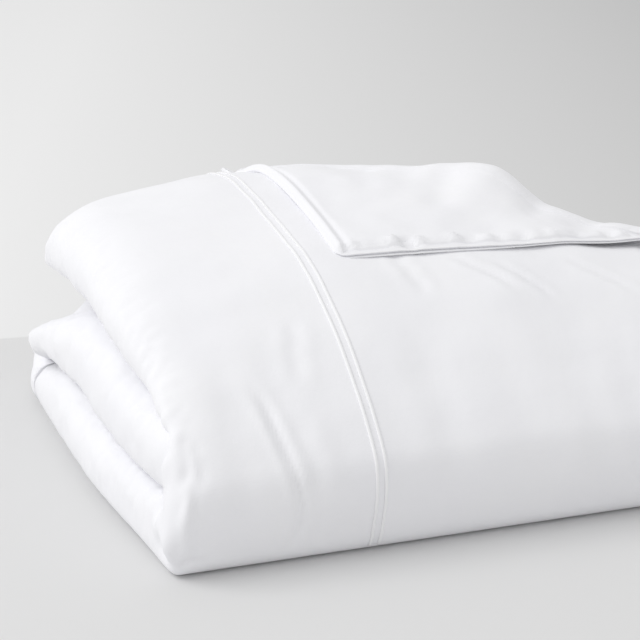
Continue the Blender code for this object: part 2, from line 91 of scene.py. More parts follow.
def even_stations(line, step):
    """Places along a line of points, in steps of its own stations, a step of length apart."""
    order = np.arange(len(line), dtype=float)
    dense = np.linspace(0, len(line) - 1, 4000)
    points = through(order, line, dense)
    length = np.append(0, np.cumsum(np.linalg.norm(np.diff(points, axis=0), axis=1)))
    count = int(round(length[-1] / step))
    return np.interp(np.linspace(0, length[-1], count + 1), length, dense)


def side_fall(x, y):
    """Share of its height that the bundle keeps: it falls towards both ends, and more at the
    back of the left end."""
    left, right = clamp((-0.10 - x) / 0.26), clamp(x / 0.33)
    back = clamp((y - 0.06) / 0.22) * clamp((-0.19 - x) / 0.16)
    return 1 - 0.085 * left**2 - 0.10 * right**2 - 0.135 * back**1.5


# Y and Z of the outside and the inside of the slab, from the back edge of the top ply over
# the front to the bottom ply.  The inside is drawn twice: under the bundle, and at its left
# end, where the plies are pressed together at the front corner.
outside = np.array([
    (0.293, 0.185), (0.288, 0.207), (0.266, 0.229), (0.222, 0.251), (0.160, 0.270),
    (0.090, 0.2745), (-0.001, 0.267), (-0.093, 0.251), (-0.155, 0.235), (-0.215, 0.209),
    (-0.259, 0.182), (-0.287, 0.160), (-0.310, 0.141), (-0.330, 0.121), (-0.343, 0.104),
    (-0.348, 0.085), (-0.347, 0.062), (-0.339, 0.032), (-0.329, 0.010), (-0.308, 0.000),
    (-0.250, 0.000), (-0.100, 0.000), (0.050, 0.000), (SPLIT, 0.000)])
inside = np.array([
    (0.293, 0.185), (0.287, 0.166), (0.263, 0.165), (0.222, 0.176), (0.155, 0.186),
    (0.088, 0.186), (0.000, 0.183), (-0.090, 0.172), (-0.150, 0.160), (-0.205, 0.1435),
    (-0.235, 0.134), (-0.255, 0.126), (-0.272, 0.118), (-0.284, 0.110), (-0.291, 0.100),
    (-0.293, 0.088), (-0.291, 0.076), (-0.284, 0.066), (-0.270, 0.060), (-0.250, 0.0605),
    (-0.215, 0.0665), (-0.100, 0.082), (0.050, 0.0885), (SPLIT, 0.086)])
inside_left = np.array([
    (0.293, 0.185), (0.287, 0.164), (0.263, 0.163), (0.222, 0.171), (0.155, 0.178),
    (0.088, 0.179), (0.000, 0.177), (-0.090, 0.171), (-0.150, 0.160), (-0.205, 0.154),
    (-0.240, 0.150), (-0.262, 0.147), (-0.280, 0.142), (-0.290, 0.130), (-0.296, 0.113),
    (-0.298, 0.096), (-0.298, 0.088), (-0.296, 0.083), (-0.292, 0.080), (-0.285, 0.078),
    (-0.240, 0.075), (-0.100, 0.0755), (0.050, 0.088), (SPLIT, 0.060)])
# X of the left end, and how far its rounding reaches, at the same stations
left_end = np.array([
    -0.330, -0.334, -0.341, -0.350, -0.358, -0.361, -0.361, -0.360, -0.358, -0.354,
    -0.352, -0.350, -0.350, -0.354, -0.359, -0.364, -0.367, -0.369, -0.369, -0.369,
    -0.374, -0.384, -0.384, -0.376])
left_round = np.array([
    0.060, 0.060, 0.064, 0.066, 0.066, 0.066, 0.066, 0.060, 0.053, 0.045,
    0.036, 0.028, 0.021, 0.018, 0.016, 0.015, 0.015, 0.015, 0.015, 0.018,
    0.026, 0.034, 0.036, 0.034])


def foot_edge(y, cut):
    """X of the slab's right edge: the foot, or the fold of the turned-back corner."""
    share = clamp((y - FOLD_RIGHT[1]) / (FOLD_LEFT[1] - FOLD_RIGHT[1]))
    fold = FOLD_RIGHT[0] + share * (FOLD_LEFT[0] - FOLD_RIGHT[0])
    return np.where(cut & (y > FOLD_RIGHT[1] - 0.02), np.minimum(fold, foot), foot)


def corner_dip(x, y):
    """How far the top ply sinks along the corner's fold: a shallow hollow before its middle
    and a deeper one towards the foot."""
    along = (x - FOLD_LEFT[0]) * FOLD_WAY[0] + (y - FOLD_LEFT[1]) * FOLD_WAY[1]
    inside = (x - FOLD_LEFT[0]) * FOLD_WAY[1] - (y - FOLD_LEFT[1]) * FOLD_WAY[0]
    hollow = 0.012 * np.exp(-((along - 0.17) / 0.10) ** 2)
    deeper = 0.020 * smooth((along - 0.36) / 0.07) * smooth((0.58 - along) / 0.12)
    return (hollow + deeper) * smooth((0.13 - inside) / 0.11)


def ply_section(steps_x, rounding_steps):
    """The loop round a ply as two arrays: share of the way from the left rounding to the
    foot, a little closer together at both ends, and the angles round the left end."""
    upper = np.linspace(1, 0, steps_x + 1)
    flat = upper - 0.10 * np.sin(2 * np.pi * upper) / (2 * np.pi)
    turn = np.linspace(np.pi / 2, -np.pi / 2, rounding_steps + 1)[1:-1]
    return flat, turn


def slab(run, outer_line, inner_line, inner_left, left, rounding, cut, steps_x=150, turns=22,
         squareness=2.4):
    """Points of a bent slab: rows along the run, columns round the section.  Each point is
    the mix of the outside and the inside line by its lift, and the lift follows a
    superellipse round the left end and closes to the hems at the foot.  cut says which rows
    end at the fold of the turned-back corner."""
    order = np.arange(len(outer_line), dtype=float)
    outer = through(order, outer_line, run)
    inner_a, inner_b = through(order, inner_line, run), through(order, inner_left, run)
    x_left, reach = through(order, left, run), through(order, rounding, run)
    flat, turn = ply_section(steps_x, turns)
    edge = foot_edge(outer[:, 0], cut)
    start = (x_left + reach)[:, None]
    span = edge[:, None] - start
    x_flat = start + flat[None, :] * span
    q = edge[:, None] - x_flat                     # how far from the foot edge
    hem = HEM_HALF / PLY_HALF
    to_hem = hem + (1 - hem) * np.sin(np.pi / 2 * smooth((q - HEM_WIDTH) / HEM_SLOPE)) ** 0.8
    bulge = np.sqrt(clamp(1 - (1 - clamp(q / FOLD_ROUNDING)) ** 2.4, 0.0001))
    corner = smooth((outer[:, 0] - FOLD_RIGHT[1] + 0.03) / 0.05)[:, None] * cut[:, None]
    lift_flat = to_hem * (1 - corner) + bulge * corner
    power = 2 / squareness
    c, s = np.abs(np.cos(turn)) ** power, np.abs(np.sin(turn)) ** power * np.sign(np.sin(turn))
    x_turn = start - reach[:, None] * c[None, :]
    lift_turn = np.repeat(s[None, :], len(run), axis=0)
    x = np.concatenate([x_flat, x_turn, x_flat[:, ::-1]], axis=1)
    lift = np.concatenate([lift_flat, lift_turn, -lift_flat[:, ::-1]], axis=1)
    near = smooth((LEFT_START - x) / LEFT_REACH)[..., None]
    inner = inner_a[:, None, :] * (1 - near) + inner_b[:, None, :] * near
    share = ((1 + lift) / 2)[..., None]
    section = outer[:, None, :] * share + inner * (1 - share)
    fall = side_fall(x, section[..., 0])
    high = smooth(section[..., 1] / 0.02)
    z = section[..., 1] * (1 + (fall - 1) * high)
    z -= corner_dip(x, section[..., 0]) * cut[:, None] * smooth((z - 0.19) / 0.03)
    return np.stack([x, section[..., 0], z], axis=-1)


def normals_of(points):
    """Cross product of the differences along the two directions of a grid that closes in
    its columns."""
    along = np.gradient(points, axis=0)
    across = np.roll(points, -1, axis=1) - np.roll(points, 1, axis=1)
    normal = np.cross(across, along)
    return normal / np.maximum(np.linalg.norm(normal, axis=-1, keepdims=True), 1e-12)


def waves(points, size, seed, count=28, stretch=(1.0, 1.0, 1.0)):
    """Soft random height: the mean of many plane waves with directions and lengths drawn
    round one size, so it is about one high and never repeats."""
    rng = np.random.default_rng(seed)
    direction = rng.normal(size=(count, 3)) * np.array(stretch)
    direction /= np.linalg.norm(direction / np.array(stretch), axis=1, keepdims=True)
    length = size * rng.uniform(0.75, 1.5, count)
    phase = rng.uniform(0, 2 * np.pi, count)
    angle = points @ (direction / length[:, None]).T * 2 * np.pi + phase
    return np.sin(angle).sum(axis=-1) / np.sqrt(count / 2)


def from_line(points, line):
    """Distance from each point to a line of points, and share along the line, from the
    nearest of its pieces."""
    best = np.full(points.shape[:-1], np.inf)
    share = np.zeros_like(best)
    for i, (a, b) in enumerate(zip(line[:-1], line[1:])):
        d = b - a
        if not d.any():                  # two places moved to the same point of the cloth
            continue
        t = clamp(((points - a) @ d) / (d @ d))
        far = np.linalg.norm(points - (a + t[..., None] * d), axis=-1)
        nearer = far < best
        best = np.where(nearer, far, best)
        share = np.where(nearer, (i + t) / (len(line) - 1), share)
    return best, share


def curved(line, count=24):
    """The same line as a smooth curve of more points."""
    line = np.asarray(line, float)
    return through(np.arange(len(line), dtype=float), line, np.linspace(0, len(line) - 1, count))


def crease(points, line, width, depth, lip=0.0, ends=0.25):
    """A crease in the cloth: a groove as deep as a Gaussian of the distance to its line, with
    a lip beside it, that fades at its ends.  The line is first drawn on the cloth: each of
    its places moves to the nearest point, and is then evened out with its neighbours."""
    line, cloth = curved(line), points.reshape(-1, 3)
    on_cloth = np.array([cloth[np.argmin(((cloth - place) ** 2).sum(axis=1))] for place in line])
    on_cloth[1:-1] = (on_cloth[:-2] + 2 * on_cloth[1:-1] + on_cloth[2:]) / 4
    far, share = from_line(points, on_cloth)
    fade = smooth(share / ends) * smooth((1 - share) / ends)
    return fade * (lip * np.exp(-((far - 1.8 * width) / width) ** 2)
                   - depth * np.exp(-(far / width) ** 2))


def add_grid(name, points, loop=False):
    """Mesh of a grid of points whose columns close in a ring, with quads between them and its
    ends closed by fans, or joined to each other where it is a loop."""
    rows, columns = points.shape[:2]
    i, j = np.meshgrid(np.arange(rows if loop else rows - 1), np.arange(columns), indexing="ij")
    k, after = (j + 1) % columns, (i + 1) % rows
    quads = np.stack([i * columns + j, i * columns + k, after * columns + k,
                      after * columns + j], axis=-1).reshape(-1, 4)
    verts = points.reshape(-1, 3)
    loops, starts = [quads.reshape(-1)], [np.arange(len(quads)) * 4]
    total = len(quads) * 4
    for row, turn in () if loop else ((0, -1), (rows - 1, 1)):
        centre = len(verts)
        verts = np.vstack([verts, points[row].mean(axis=0)])
        around = row * columns + np.arange(columns)
        fan = np.stack([around, np.roll(around, -1), np.full(columns, centre)], axis=-1)
        loops.append(fan[:, ::turn].reshape(-1))
        starts.append(total + np.arange(columns) * 3)
        total += columns * 3
    mesh = bpy.data.meshes.new(name)
    mesh.vertices.add(len(verts))
    mesh.vertices.foreach_set("co", verts.astype(np.float32).ravel())
    loops, starts = np.concatenate(loops), np.concatenate(starts)
    mesh.loops.add(len(loops))
    mesh.loops.foreach_set("vertex_index", loops.astype(np.int32))
    mesh.polygons.add(len(starts))
    mesh.polygons.foreach_set("loop_start", starts.astype(np.int32))
    mesh.update(calc_edges=True)
    mesh.validate()
    rounded = np.arange(len(mesh.polygons)) < len(quads)     # the end fans stay flat
    mesh.polygons.foreach_set("use_smooth", rounded)
    made = bpy.data.objects.new(name, mesh)
    bpy.context.scene.collection.objects.link(made)
    return made


def colour(code):
    """sRGB hex to linear: the low part divided by 12.92, the rest by the 2.4 power curve."""
    value = np.array([int(code[i:i + 2], 16) for i in (1, 3, 5)]) / 255
    linear = np.where(value <= 0.04045, value / 12.92, ((value + 0.055) / 1.055) ** 2.4)
    return (*linear.tolist(), 1.0)


def add_node(material, kind, settings=(), links=()):
    """One node in the material, its sockets set and its inputs linked."""
    node = material.node_tree.nodes.new(kind)
    for key, value in dict(settings).items():
        if isinstance(key, int) or key in node.inputs:
            node.inputs[key].default_value = value
        else:
            setattr(node, key, value)
    for socket, source in dict(links).items():
        material.node_tree.links.new(source, node.inputs[socket])
    return node


def percale_cotton():
    """Percale: plain-woven combed cotton, pressed, matt with a faint nap.  The eye gets a
    slightly cool white with a very fine weave and the faintest shade from thread to thread."""
    made = bpy.data.materials.get(PERCALE)
    if made:
        return made
    made = bpy.data.materials.new(PERCALE)
    made.use_nodes = True
    shader = made.node_tree.nodes["Principled BSDF"]
    shader.inputs["Roughness"].default_value = 0.88
    shader.inputs["Specular IOR Level"].default_value = 0.25
    shader.inputs["Sheen Weight"].default_value = 0.12
    shader.inputs["Sheen Roughness"].default_value = 0.45
    place = add_node(made, "ShaderNodeTexCoord").outputs["Object"]
    # 80 threads to the centimetre are too fine to show, so the weave is drawn 1.2 mm apart
    warp = add_node(made, "ShaderNodeTexWave", {"wave_type": "BANDS", "bands_direction": "X",
                    "Scale": 260.0, "Distortion": 1.5, "Detail": 1.0}, {"Vector": place})
    weft = add_node(made, "ShaderNodeTexWave", {"wave_type": "BANDS", "bands_direction": "Y",
                    "Scale": 260.0, "Distortion": 1.5, "Detail": 1.0}, {"Vector": place})
    weave = add_node(made, "ShaderNodeMath", {"operation": "ADD"},
                     {0: warp.outputs["Fac"], 1: weft.outputs["Fac"]})
    rumple = add_node(made, "ShaderNodeTexNoise", {"Scale": 34.0, "Detail": 3.0,
                      "Roughness": 0.45}, {"Vector": place})
    shade = add_node(made, "ShaderNodeTexNoise", {"Scale": 9.0, "Detail": 2.0}, {"Vector": place})
    tint = add_node(made, "ShaderNodeMix", {"data_type": "RGBA", 6: colour("#F4F4F8"),
                    7: colour("#F9F9FB")}, {0: shade.outputs["Fac"]})
    fine = add_node(made, "ShaderNodeBump", {"Strength": 0.10, "Distance": 0.0004},
                    {"Height": weave.outputs[0]})
    broad = add_node(made, "ShaderNodeBump", {"Strength": 0.25, "Distance": 0.004},
                     {"Height": rumple.outputs["Fac"], "Normal": fine.outputs[0]})
    links = made.node_tree.links
    links.new(tint.outputs[2], shader.inputs["Base Color"])
    links.new(broad.outputs[0], shader.inputs["Normal"])
    return made


run = even_stations(outside, 0.0046)
on_top_ply = run < 11.0               # the stations before the front fold
skin = slab(run, outside, inside, inside_left, left_end, left_round, on_top_ply)
outer_normal = normals_of(skin)

# creases of the soft cloth, from the large folds to the small puckers
lift = 0.0011 * waves(skin, 0.16, 3) + 0.0003 * waves(skin, 0.06, 5)
on_front = smooth((-0.20 - skin[..., 1]) / 0.08)
lift += 0.0005 * on_front * waves(skin, 0.045, 11, stretch=(1.0, 0.15, 0.12))
lift += 0.0004 * (1 - on_front) * waves(skin, 0.05, 12, stretch=(0.3, 1.0, 0.2))
# the long curved crease at the left of the front, and the pulls beneath the corner
for line, width, depth, lip in (
        ([(-0.265, -0.262, 0.170), (-0.253, -0.290, 0.150), (-0.248, -0.318, 0.124),
          (-0.238, -0.344, 0.080), (-0.236, -0.345, 0.045), (-0.250, -0.325, 0.012)],
         0.0055, 0.0032, 0.0016),
        ([(-0.232, -0.300, 0.148), (-0.222, -0.335, 0.105), (-0.224, -0.346, 0.060)],
         0.0100, 0.0016, 0.0008),
        ([(0.003, -0.143, 0.238), (0.030, -0.172, 0.228), (0.057, -0.204, 0.215)],
         0.0050, 0.0024, 0.0014),
        ([(0.044, -0.155, 0.235), (0.068, -0.186, 0.222), (0.094, -0.222, 0.205)],
         0.0045, 0.0018, 0.0012),
        ([(0.125, -0.158, 0.233), (0.158, -0.188, 0.219), (0.191, -0.217, 0.204)],
         0.0050, 0.0020, 0.0012),
        ([(-0.060, -0.120, 0.246), (-0.050, -0.160, 0.236), (-0.045, -0.200, 0.218)],
         0.0070, 0.0012, 0.0010),
        ([(-0.200, -0.200, 0.216), (-0.205, -0.240, 0.196), (-0.214, -0.280, 0.166)],
         0.0080, 0.0012, 0.0008),
        ([(0.150, -0.345, 0.035), (0.135, -0.335, 0.018), (0.130, -0.320, 0.006)],
         0.0040, 0.0018, 0.0010),
        ([(0.180, -0.346, 0.040), (0.172, -0.336, 0.020), (0.170, -0.322, 0.006)],
         0.0040, 0.0014, 0.0010)):
    lift += crease(skin, line, width, depth, lip)
# the side seam's puckers, small and close together at the left end
at_left = smooth((-0.318 - skin[..., 0]) / 0.020)
lift += 0.0006 * at_left * waves(skin, 0.013, 13, stretch=(1.0, 1.0, 0.35))
# the front fold's end is crumpled where the seam turns the corner
end_face = smooth((-0.335 - skin[..., 0]) / 0.02) * smooth((-0.272 - skin[..., 1]) / 0.02)
lift += 0.0028 * end_face * waves(skin, 0.034, 17, stretch=(1.0, 1.0, 0.7))
for line, width, depth, lip in (
        ([(-0.362, -0.300, 0.128), (-0.366, -0.309, 0.108), (-0.368, -0.309, 0.088),
          (-0.369, -0.303, 0.060), (-0.368, -0.300, 0.030)], 0.0045, -0.0030, 0.0),
        ([(-0.366, -0.318, 0.018), (-0.350, -0.338, 0.020), (-0.330, -0.342, 0.022)],
         0.0030, 0.0020, 0.0012)):
    lift += crease(skin, line, width, depth, lip)
skin_points = skin + outer_normal * (lift * smooth((skin[..., 2] - 0.004) / 0.03))[..., None]
skin_points[..., 2] = np.maximum(skin_points[..., 2], 0.0004)

outer_turn = add_grid("duvet_outer_turn", skin_points)
outer_turn.data.materials.append(percale_cotton())
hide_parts(*[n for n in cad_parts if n.startswith(
    ("cover_face_", "cover_reverse_", "insert_")) and n.endswith(
    ("_top", "_front_fold_upper", "_front_fold_lower", "_bottom"))])
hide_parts("hem_face_top", "hem_reverse_top", "hem_face_bottom",
            "hem_reverse_bottom", "side_seam_top")
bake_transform(outer_turn)

# ---- The folded duvet: back fold and middle ply --------------------------------------
# The same duvet goes on round the back and forward again, between the other two plies.
# Its free edge is tucked into the front fold, and its left end stands out past the top ply's.
back_outside = np.array([
    (SPLIT, 0.000), (0.240, 0.000), (0.272, 0.008), (0.292, 0.034), (0.300, 0.066),
    (0.301, 0.098), (0.292, 0.128), (0.268, 0.152), (0.230, 0.171), (0.142, 0.183),
    (0.000, 0.179), (-0.090, 0.168), (-0.150, 0.156), (-0.205, 0.1395), (-0.245, 0.126),
    (-0.268, 0.112), (-0.276, 0.098)])
back_outside_left = back_outside.copy()
back_outside_left[5:] = [
    (0.298, 0.060), (0.290, 0.078), (0.266, 0.092), (0.220, 0.106), (0.142, 0.138),
    (0.020, 0.172), (-0.090, 0.169), (-0.150, 0.158),
    (-0.205, 0.153), (-0.250, 0.149), (-0.292, 0.143), (-0.309, 0.113)]
back_inside = np.array([
    (SPLIT, 0.086), (0.205, 0.087), (0.214, 0.0885), (0.218, 0.090), (0.220, 0.091),
    (0.218, 0.0925), (0.212, 0.094), (0.203, 0.0955), (0.185, 0.096), (0.120, 0.0975),
    (0.000, 0.0945), (-0.090, 0.088), (-0.150, 0.082), (-0.205, 0.0735), (-0.245, 0.071),
    (-0.268, 0.078), (-0.276, 0.098)])
back_inside_left = back_inside.copy()
back_inside_left[0] = (SPLIT, 0.060)
back_inside_left[1:] = [
    (0.205, 0.050), (0.222, 0.046), (0.232, 0.045), (0.236, 0.046), (0.232, 0.048),
    (0.222, 0.052), (0.208, 0.060), (0.185, 0.074), (0.120, 0.092), (0.000, 0.0925),
    (-0.090, 0.080), (-0.150, 0.079),
    (-0.205, 0.0765), (-0.250, 0.0765), (-0.292, 0.082), (-0.309, 0.113)]
back_left = np.array([
    -0.376, -0.372, -0.366, -0.358, -0.352, -0.352, -0.356, -0.364, -0.376, -0.385,
    -0.380, -0.376, -0.372, -0.369, -0.365, -0.360, -0.350])
back_round = np.array([
    0.034, 0.036, 0.038, 0.040, 0.040, 0.040, 0.040, 0.040, 0.040, 0.038,
    0.036, 0.034, 0.032, 0.030, 0.028, 0.026, 0.024])
back_run = even_stations(back_outside, 0.0055)


def leaning_slab(run, lines, left, rounding):
    """A slab whose outside line too is drawn twice, under the bundle and at its left end."""
    outer_a, outer_b, inner_a, inner_b = lines
    never = np.zeros(len(run), bool)
    a = slab(run, outer_a, inner_a, inner_b, left, rounding, never, squareness=2.6)
    b = slab(run, outer_b, inner_a, inner_b, left, rounding, never, squareness=2.6)
    near = smooth((LEFT_START - a[..., 0]) / LEFT_REACH)[..., None]
    return a * (1 - near) + b * near


back = leaning_slab(back_run, (back_outside, back_outside_left, back_inside, back_inside_left),
                    back_left, back_round)
back_normal = normals_of(back)
back_lift = 0.0011 * waves(back, 0.14, 7) + 0.0003 * waves(back, 0.05, 8)
back_lift += (0.0006 * smooth((-0.322 - back[..., 0]) / 0.020)
              * waves(back, 0.014, 14, stretch=(1.0, 1.0, 0.3)))
for line, width, depth, lip in (
        ([(-0.372, 0.060, 0.158), (-0.380, 0.052, 0.135), (-0.380, 0.040, 0.112)],
         0.0060, -0.0030, 0.0),
        ([(-0.376, 0.262, 0.078), (-0.384, 0.235, 0.072), (-0.380, 0.205, 0.062)],
         0.0050, 0.0030, 0.0015),
        ([(-0.366, 0.238, 0.096), (-0.380, 0.222, 0.078), (-0.384, 0.205, 0.070)],
         0.0050, 0.0026, 0.0015),
        ([(-0.378, 0.255, 0.040), (-0.386, 0.225, 0.042), (-0.386, 0.195, 0.048)],
         0.0032, 0.0080, 0.0012),
        ([(-0.380, 0.245, 0.022), (-0.386, 0.215, 0.025), (-0.387, 0.192, 0.024)],
         0.0040, 0.0030, 0.0014)):
    back_lift += crease(back, line, width, depth, lip)
back_points = back + back_normal * (back_lift * smooth((back[..., 2] - 0.004) / 0.03))[..., None]
back_points[..., 2] = np.maximum(back_points[..., 2], 0.0004)
inner_turn = add_grid("duvet_inner_turn", back_points)
inner_turn.data.materials.append(percale_cotton())
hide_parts(*[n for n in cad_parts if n.startswith(
    ("cover_face_", "cover_reverse_", "insert_")) and n.endswith(("_middle", "_back_fold"))])
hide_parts("hem_face_middle", "hem_reverse_middle", "side_seam_middle")
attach(inner_turn, "base")

# ---- Embroidery: two satin-stitch lines ----------------------------------------------
# Two raised lines of white satin stitch, 3.6 mm wide and 9.6 mm from middle to middle, run
# across the cover near its left end, over the top ply, down the front fold and round the rest.
stitch_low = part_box("stitch_line_a_top")[0]
stitch_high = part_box("stitch_line_b_top")[1]
STITCH_WIDTH, STITCH_HEIGHT = 0.0036, 0.0019
line_places = (stitch_low.x + STITCH_WIDTH / 2, stitch_high.x - STITCH_WIDTH / 2)
FACE_COLUMNS = 151                    # columns along a slab's outer face, from the foot
MIDDLE_COLUMN = 75
END_ROWS = 14                         # rows round the duvet's free edge, without stitching
FLOOR_ROWS = 60                       # the slab comes down to the bed only after these
TO_BED, OFF_BED = 0.006, 0.008        # heights where a line ends and starts again


def on_skin(points, x):
    """Point of each row of a slab where its outer face crosses x, one per row: the two
    nearest columns are mixed by how far x lies between them."""
    outer = points[:, :FACE_COLUMNS, 0]
    i = np.clip((outer > x[:, None]).sum(axis=1) - 1, 0, FACE_COLUMNS - 2)
    rows_at = np.arange(len(points))
    a, b = points[rows_at, i], points[rows_at, i + 1]
    gap = b[:, 0] - a[:, 0]
    t = clamp((x - a[:, 0]) / np.where(abs(gap) < 1e-9, 1, gap))
    return a + (b - a) * t[:, None]


def raised_line(points, x, width, height, sides=10, sink=0.35):
    """Tube of flattened round section laid on the cloth: an ellipse across each point of
    the line, sunk a little into it."""
    middle = on_skin(points, x)
    beside = on_skin(points, x + 0.004) - on_skin(points, x - 0.004)
    beside /= np.linalg.norm(beside, axis=1, keepdims=True)
    ahead = np.gradient(middle, axis=0)
    up = np.cross(ahead, beside)
    up /= np.linalg.norm(up, axis=1, keepdims=True)
    if up[len(up) // 4, 2] < 0:
        up = -up
    angle = np.linspace(0, 2 * np.pi, sides, endpoint=False)
    return (middle[:, None] + up[:, None] * (height * (1 - sink) * 0.5)
            + beside[:, None] * (width / 2 * np.cos(angle))[None, :, None]
            + up[:, None] * (height / 2 * np.sin(angle))[None, :, None])


def satin_thread():
    """Mercerised cotton embroidery thread in close satin stitch: it gives a brighter line
    than the cloth, with a soft gloss and fine ribs across it."""
    made = bpy.data.materials.get("mercerised embroidery cotton")
    if made:
        return made
    made = bpy.data.materials.new("mercerised embroidery cotton")
    made.use_nodes = True
    shader = made.node_tree.nodes["Principled BSDF"]
    shader.inputs["Roughness"].default_value = 0.55
    shader.inputs["Sheen Weight"].default_value = 0.2
    place = add_node(made, "ShaderNodeTexCoord").outputs["UV"]
    # each stitch is 0.4 mm wide, drawn 0.8 mm wide so that the ribs can be seen
    ribs = add_node(made, "ShaderNodeTexWave", {"wave_type": "BANDS", "bands_direction": "Y",
                    "Scale": 400.0, "Distortion": 0.6, "Detail": 1.0}, {"Vector": place})
    tint = add_node(made, "ShaderNodeMix", {"data_type": "RGBA", 6: colour("#F8F8FB"),
                    7: colour("#FFFFFF")}, {0: ribs.outputs["Fac"]})
    bump = add_node(made, "ShaderNodeBump", {"Strength": 0.25, "Distance": 0.0003},
                    {"Height": ribs.outputs["Fac"]})
    made.node_tree.links.new(tint.outputs[2], shader.inputs["Base Color"])
    made.node_tree.links.new(bump.outputs[0], shader.inputs["Normal"])
    return made


def add_uv(made, points):
    """UV in metres on a closed grid: U round the section, V along the run."""
    along = np.append(0, np.cumsum(np.linalg.norm(np.diff(points.mean(axis=1), axis=0), axis=1)))
    round_it = np.arange(points.shape[1]) / points.shape[1]
    values = np.stack(np.broadcast_arrays(round_it[None, :], along[:, None]), axis=-1)
    table = np.vstack([values.reshape(-1, 2), [[0, 0], [0, along[-1]]]])
    index = np.zeros(len(made.data.loops), np.int32)
    made.data.loops.foreach_get("vertex_index", index)
    layer = made.data.uv_layers.new(name="UVMap")
    layer.uv.foreach_set("vector", table[index].astype(np.float32).ravel())


for letter, x in zip("ab", line_places):
    on_bed = ((skin_points[:, MIDDLE_COLUMN, 2] < TO_BED)
              & (np.arange(len(skin_points)) > FLOOR_ROWS)).argmax()
    stitched = skin_points[END_ROWS:on_bed]
    tube = raised_line(stitched, np.full(len(stitched), x), STITCH_WIDTH, STITCH_HEIGHT)
    stitch = add_grid("satin_line_" + letter, tube)
    add_uv(stitch, tube)
    stitch.data.materials.append(satin_thread())
    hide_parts(*["stitch_line_" + letter + "_" + part for part in
                          ("top", "front_fold_upper", "front_fold_lower")])
    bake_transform(stitch)
    # and where the same line runs up the back fold and over the middle ply
    stitched = back_points[(back_points[:, MIDDLE_COLUMN, 2] > OFF_BED).argmax():-END_ROWS]
    tube = raised_line(stitched, np.full(len(stitched), x), STITCH_WIDTH, STITCH_HEIGHT)
    stitch = add_grid("satin_line_inside_" + letter, tube)
    add_uv(stitch, tube)
    stitch.data.materials.append(satin_thread())
    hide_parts("stitch_line_" + letter + "_back_fold", "stitch_line_" + letter + "_middle")
    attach(stitch, "base")

# ---- The turned-back corner ----------------------------------------------------------
# The cover's corner is turned back over the top ply on a diagonal fold.  Its two leaves
# lie flat, the fold stays puffy, the side seam makes a rolled edge and the foot hem is
# doubled and topstitched.
to_tip = np.array([FOLD_WAY[1], -FOLD_WAY[0]])          # across the fold, to the corner's tip
half_fold = np.linalg.norm(FOLD_RIGHT - FOLD_LEFT) / 2
fold_middle = (FOLD_LEFT + FOLD_RIGHT) / 2


def top_height(x, y):
    """Height of the top ply under the corner: its outside line at y, lowered as the bundle
    falls towards its ends."""
    line = outside[:12]
    line = line[np.argsort(line[:, 0])]
    return through(line[:, 0], line[:, 1], y) * side_fall(x, y) - corner_dip(x, y)


# a runs along the fold from its middle, and reach is how far the corner goes from there
a_grid = half_fold * np.linspace(-1, 1, 121)
reach = half_fold - np.sqrt(a_grid**2 + 0.004**2) + 0.004
fold_bulge = through([-0.30, -0.25, -0.21, -0.14, -0.07, -0.03, 0.005, 0.05, 0.085, 0.12, 0.15,
                      0.21, 0.30],
                     [-0.003, -0.003, -0.002, 0.002, 0.001, 0.001, 0.008, 0.015, 0.015, 0.008,
                      0.005, 0.004, 0.003], a_grid)

# the section across the fold: b runs from the fold to the edge, up is above the top ply
wrap = np.array([          # b, share of the fold's height from the ply's waist to its top
    (0.030, -0.10), (0.016, 0.02), (0.004, 0.14), (-0.004, 0.30), (-0.008, 0.48),
    (-0.006, 0.66), (0.002, 0.83), (0.014, 0.95), (0.030, 1.02), (0.048, 1.03)])
wrap_at = np.linspace(0, len(wrap) - 1, 26)
wrap_line = through(np.arange(len(wrap), dtype=float), wrap, wrap_at)
wrap_count = len(wrap_line)
leaf_share = 1 - (1 - np.linspace(0, 1, 111)[1:]) ** 1.8      # closer together at the edge
LEAF_LIFT, HEM_LIFT = 0.0085, 0.0056                          # above the top ply
WAIST = 0.180                                                 # where the fold starts, in Z


def corner_points():
    """Rows along the fold, columns across it: up round the fold and over the upper leaf to the
    edge, with each point's distance from the edge.  The rim round the hem and the lower leaf back
    inside the fold to the start are laid on afterwards."""
    a = a_grid[:, None]
    far = np.maximum(reach, 0.0015)[:, None]
    b_wrap = np.minimum(wrap_line[:, 0][None, :], 0.9 * far)
    h_wrap = wrap_line[:, 1][None, :] + 0 * a
    b_leaf = wrap_line[-1, 0] + (far - wrap_line[-1, 0]) * leaf_share[None, :]
    b_leaf = np.where(far > wrap_line[-1, 0] + 0.004, b_leaf, 0.9 * far + 0.1 * far * leaf_share)
    b = np.concatenate([b_wrap, b_leaf], axis=1)
    x = fold_middle[0] + a * FOLD_WAY[0] + b * to_tip[0]
    y = fold_middle[1] + a * FOLD_WAY[1] + b * to_tip[1]
    # the hem sags forward in its middle
    sag = np.exp(-((x - 0.09) / 0.10) ** 2) * smooth(a / 0.05) * smooth(1 - (far - b) / 0.07)
    y = y - 0.009 * sag
    plateau = top_height(x, np.clip(y, -0.28, 0.250))
    bulge = fold_bulge[:, None] * np.exp(-((b - 0.035) / 0.050) ** 2)
    to_edge = clamp((far - b) / 0.020)
    up = HEM_LIFT + (LEAF_LIFT - HEM_LIFT) * smooth(to_edge) + bulge
    low = WAIST * side_fall(x, y)
    low += (plateau - 0.014 - low) * (1 - smooth(reach / 0.045))[:, None]   # closed at its ends
    z = plateau + up
    z[:, :wrap_count] = low[:, :wrap_count] + (z - low)[:, :wrap_count] * h_wrap
    return np.stack([x, y, z], axis=-1), far - b


upper, edge_distance = corner_points()
side = np.where(a_grid < 0, 0.0, 1.0)[:, None]           # 0 by the side seam, 1 by the hem
